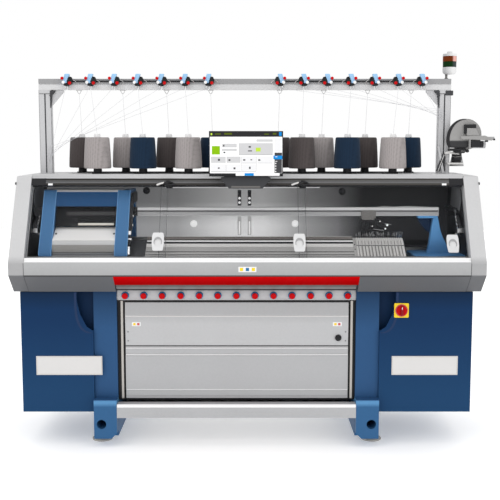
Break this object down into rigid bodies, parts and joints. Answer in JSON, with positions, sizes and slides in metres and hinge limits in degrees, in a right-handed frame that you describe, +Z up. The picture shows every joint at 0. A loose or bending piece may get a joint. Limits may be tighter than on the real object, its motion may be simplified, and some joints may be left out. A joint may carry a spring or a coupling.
{
  "type": "flat knitting machine",
  "caption": "Computerised flat-bed knitting machine with sliding windows, travelling carriage, yarn cones on a shelf, yarn gantry, monitor and blue base cabinets.",
  "frame": {"origin": "middle of the whole box, on the floor", "axes": "+X along the needle beds to the operator's right, -Y towards the operator, +Z up"},
  "size_m": [2.62, 0.9, 2.144],
  "materials": {
    "side_frame_left": "blue textured paint",
    "side_frame_right": "blue textured paint",
    "foot_front_left": "dark rubber pad",
    "foot_front_right": "dark rubber pad",
    "foot_rear_left": "dark rubber pad",
    "foot_rear_right": "dark rubber pad",
    "cabinet_left": "deep blue powder coat",
    "cabinet_right": "deep blue powder coat",
    "cloth_bay_liner": "light grey powder coat",
    "front_frame": "dark grey satin paint",
    "kick_plate": "light grey powder coat",
    "lower_panel": "light grey powder coat",
    "cloth_door": "light grey powder coat",
    "door_lock": "black",
    "take_down_knob_bar": "light grey powder coat",
    "take_down_roller": "ribbed rubber sleeve",
    "switch_plate": "yellow",
    "switch_knob": "red",
    "casing_left": "satin white-grey powder coat",
    "casing_right": "satin white-grey powder coat",
    "front_cover": "light grey powder coat",
    "red_trim": "red gloss",
    "window_track_bottom": "satin white-grey powder coat",
    "window_track_top": "dark grey satin paint",
    "window_left": "clear",
    "window_middle": "clear",
    "window_right": "clear",
    "machine_bed": "painted dark",
    "needle_bed_front": "ground steel",
    "needle_bed_rear": "ground steel",
    "yarn_clamp_block": "anodised",
    "rail_end_casting": "painted blue",
    "carriage_rail_front": "ground steel",
    "carriage_rail_rear": "ground steel",
    "yarn_rail": "anodised",
    "carriage_bow": "blue textured paint",
    "carriage_front_box": "satin white-grey powder coat",
    "yarn_feeder": "black",
    "drive_pulley": "ground steel",
    "idler_pulley": "ground steel",
    "drive_belt": "toothed belt",
    "drive_motor": "dark grey satin paint",
    "cone_shelf": "satin white-grey powder coat",
    "back_wall": "light grey powder coat",
    "rear_cover": "satin white-grey powder coat",
    "cone_rack_back": "wound yarn",
    "cone_rack_front": "wound yarn",
    "post_left": "satin white-grey powder coat",
    "post_right": "satin white-grey powder coat",
    "top_rail": "anodised",
    "tensioner_bank_left": "blue",
    "tensioner_bank_right": "blue",
    "lamp_base": "white",
    "lamp_green": "green lens",
    "lamp_red": "red lens",
    "monitor": "black",
    "monitor_bracket": "dark grey satin paint",
    "led_lamp_bar": "white",
    "feed_bracket": "anodised",
    "feed_wheel": "polished"
  },
  "bodies": {
    "frame": {"side_frame_left": "side_frame_left", "side_frame_right": "side_frame_right", "foot_front_left": "foot_front_left", "foot_front_right": "foot_front_right", "foot_rear_left": "foot_rear_left", "foot_rear_right": "foot_rear_right", "cabinet_left": "cabinet_left", "cabinet_right": "cabinet_right", "cloth_bay_liner": "cloth_bay_liner", "front_frame": "front_frame", "kick_plate": "kick_plate", "lower_panel": "lower_panel", "take_down_knob_bar": "take_down_knob_bar", "switch_plate": "switch_plate", "casing_left": "casing_left", "casing_right": "casing_right", "front_cover": "front_cover", "red_trim": "red_trim", "window_track_bottom": "window_track_bottom", "window_track_top": "window_track_top", "machine_bed": "machine_bed", "needle_bed_front": "needle_bed_front", "needle_bed_rear": "needle_bed_rear", "yarn_clamp_block": "yarn_clamp_block", "rail_end_casting": "rail_end_casting", "carriage_rail_front": "carriage_rail_front", "carriage_rail_rear": "carriage_rail_rear", "yarn_rail": "yarn_rail", "drive_belt": "drive_belt", "drive_motor": "drive_motor", "cone_shelf": "cone_shelf", "back_wall": "back_wall", "rear_cover": "rear_cover", "cone_rack_back": "cone_rack_back", "cone_rack_front": "cone_rack_front", "post_left": "post_left", "post_right": "post_right", "top_rail": "top_rail", "tensioner_bank_left": "tensioner_bank_left", "tensioner_bank_right": "tensioner_bank_right", "lamp_base": "lamp_base", "lamp_green": "lamp_green", "lamp_red": "lamp_red", "monitor_bracket": "monitor_bracket", "led_lamp_bar": "led_lamp_bar", "feed_bracket": "feed_bracket"},
    "carriage": {"carriage_bow": "carriage_bow", "carriage_front_box": "carriage_front_box"},
    "left_window": {"window_left": "window_left"},
    "middle_window": {"window_middle": "window_middle"},
    "right_window": {"window_right": "window_right"},
    "door": {"cloth_door": "cloth_door"},
    "lock": {"door_lock": "door_lock"},
    "main_switch": {"switch_knob": "switch_knob"},
    "screen": {"monitor": "monitor"},
    "wheel": {"feed_wheel": "feed_wheel"},
    "roller": {"take_down_roller": "take_down_roller"},
    "feeder": {"yarn_feeder": "yarn_feeder"},
    "drive": {"drive_pulley": "drive_pulley"},
    "idler": {"idler_pulley": "idler_pulley"}
  },
  "joints": [
    {"name": "carriage_slide", "type": "slide", "parent": "frame", "child": "carriage", "axis": [1, 0, 0], "range_m": [0, 1.57]},
    {"name": "left_window_slide", "type": "slide", "parent": "frame", "child": "left_window", "axis": [1, 0, 0], "range_m": [0, 0.7]},
    {"name": "middle_window_slide", "type": "slide", "parent": "frame", "child": "middle_window", "axis": [1, 0, 0], "range_m": [-0.69, 0.69]},
    {"name": "right_window_slide", "type": "slide", "parent": "frame", "child": "right_window", "axis": [1, 0, 0], "range_m": [-0.8, 0]},
    {"name": "cloth_door_hinge", "type": "hinge", "parent": "frame", "child": "door", "pos_m": [-0.719, -0.2985, 0.6685], "axis": [0, 0, -1], "range_deg": [0, 100]},
    {"name": "door_lock_turn", "type": "hinge", "parent": "door", "child": "lock", "pos_m": [0.432, -0.2993, 0.593], "axis": [0, -1, 0], "range_deg": [0, 90]},
    {"name": "main_switch_turn", "type": "hinge", "parent": "frame", "child": "main_switch", "pos_m": [0.767, -0.3366, 0.75], "axis": [0, -1, 0], "range_deg": [0, 90]},
    {"name": "monitor_tilt", "type": "hinge", "parent": "frame", "child": "screen", "pos_m": [-0.0674, -0.259, 1.585], "axis": [-1, 0, 0], "range_deg": [0, 15]},
    {"name": "feed_wheel_spin", "type": "hinge", "parent": "frame", "child": "wheel", "pos_m": [1.144, -0.0603, 1.69], "axis": [0, 1, 0], "continuous": true},
    {"name": "take_down_roller_spin", "type": "hinge", "parent": "frame", "child": "roller", "pos_m": [-0.12, -0.17, 0.7], "axis": [1, 0, 0], "continuous": true},
    {"name": "yarn_feeder_slide", "type": "slide", "parent": "frame", "child": "feeder", "axis": [1, 0, 0], "range_m": [-1, 0.2]},
    {"name": "drive_pulley_spin", "type": "hinge", "parent": "frame", "child": "drive", "pos_m": [1.06, 0.135, 1.056], "axis": [0, 0, 1], "continuous": true},
    {"name": "idler_pulley_spin", "type": "hinge", "parent": "frame", "child": "idler", "pos_m": [-1.18, 0.135, 1.056], "axis": [0, 0, 1], "continuous": true}
  ],
  "couplings": [
    {"joint": "drive_pulley_spin", "follows": "carriage_slide", "rad_per_m": 33.333},
    {"joint": "idler_pulley_spin", "follows": "carriage_slide", "rad_per_m": 33.333}
  ]
}
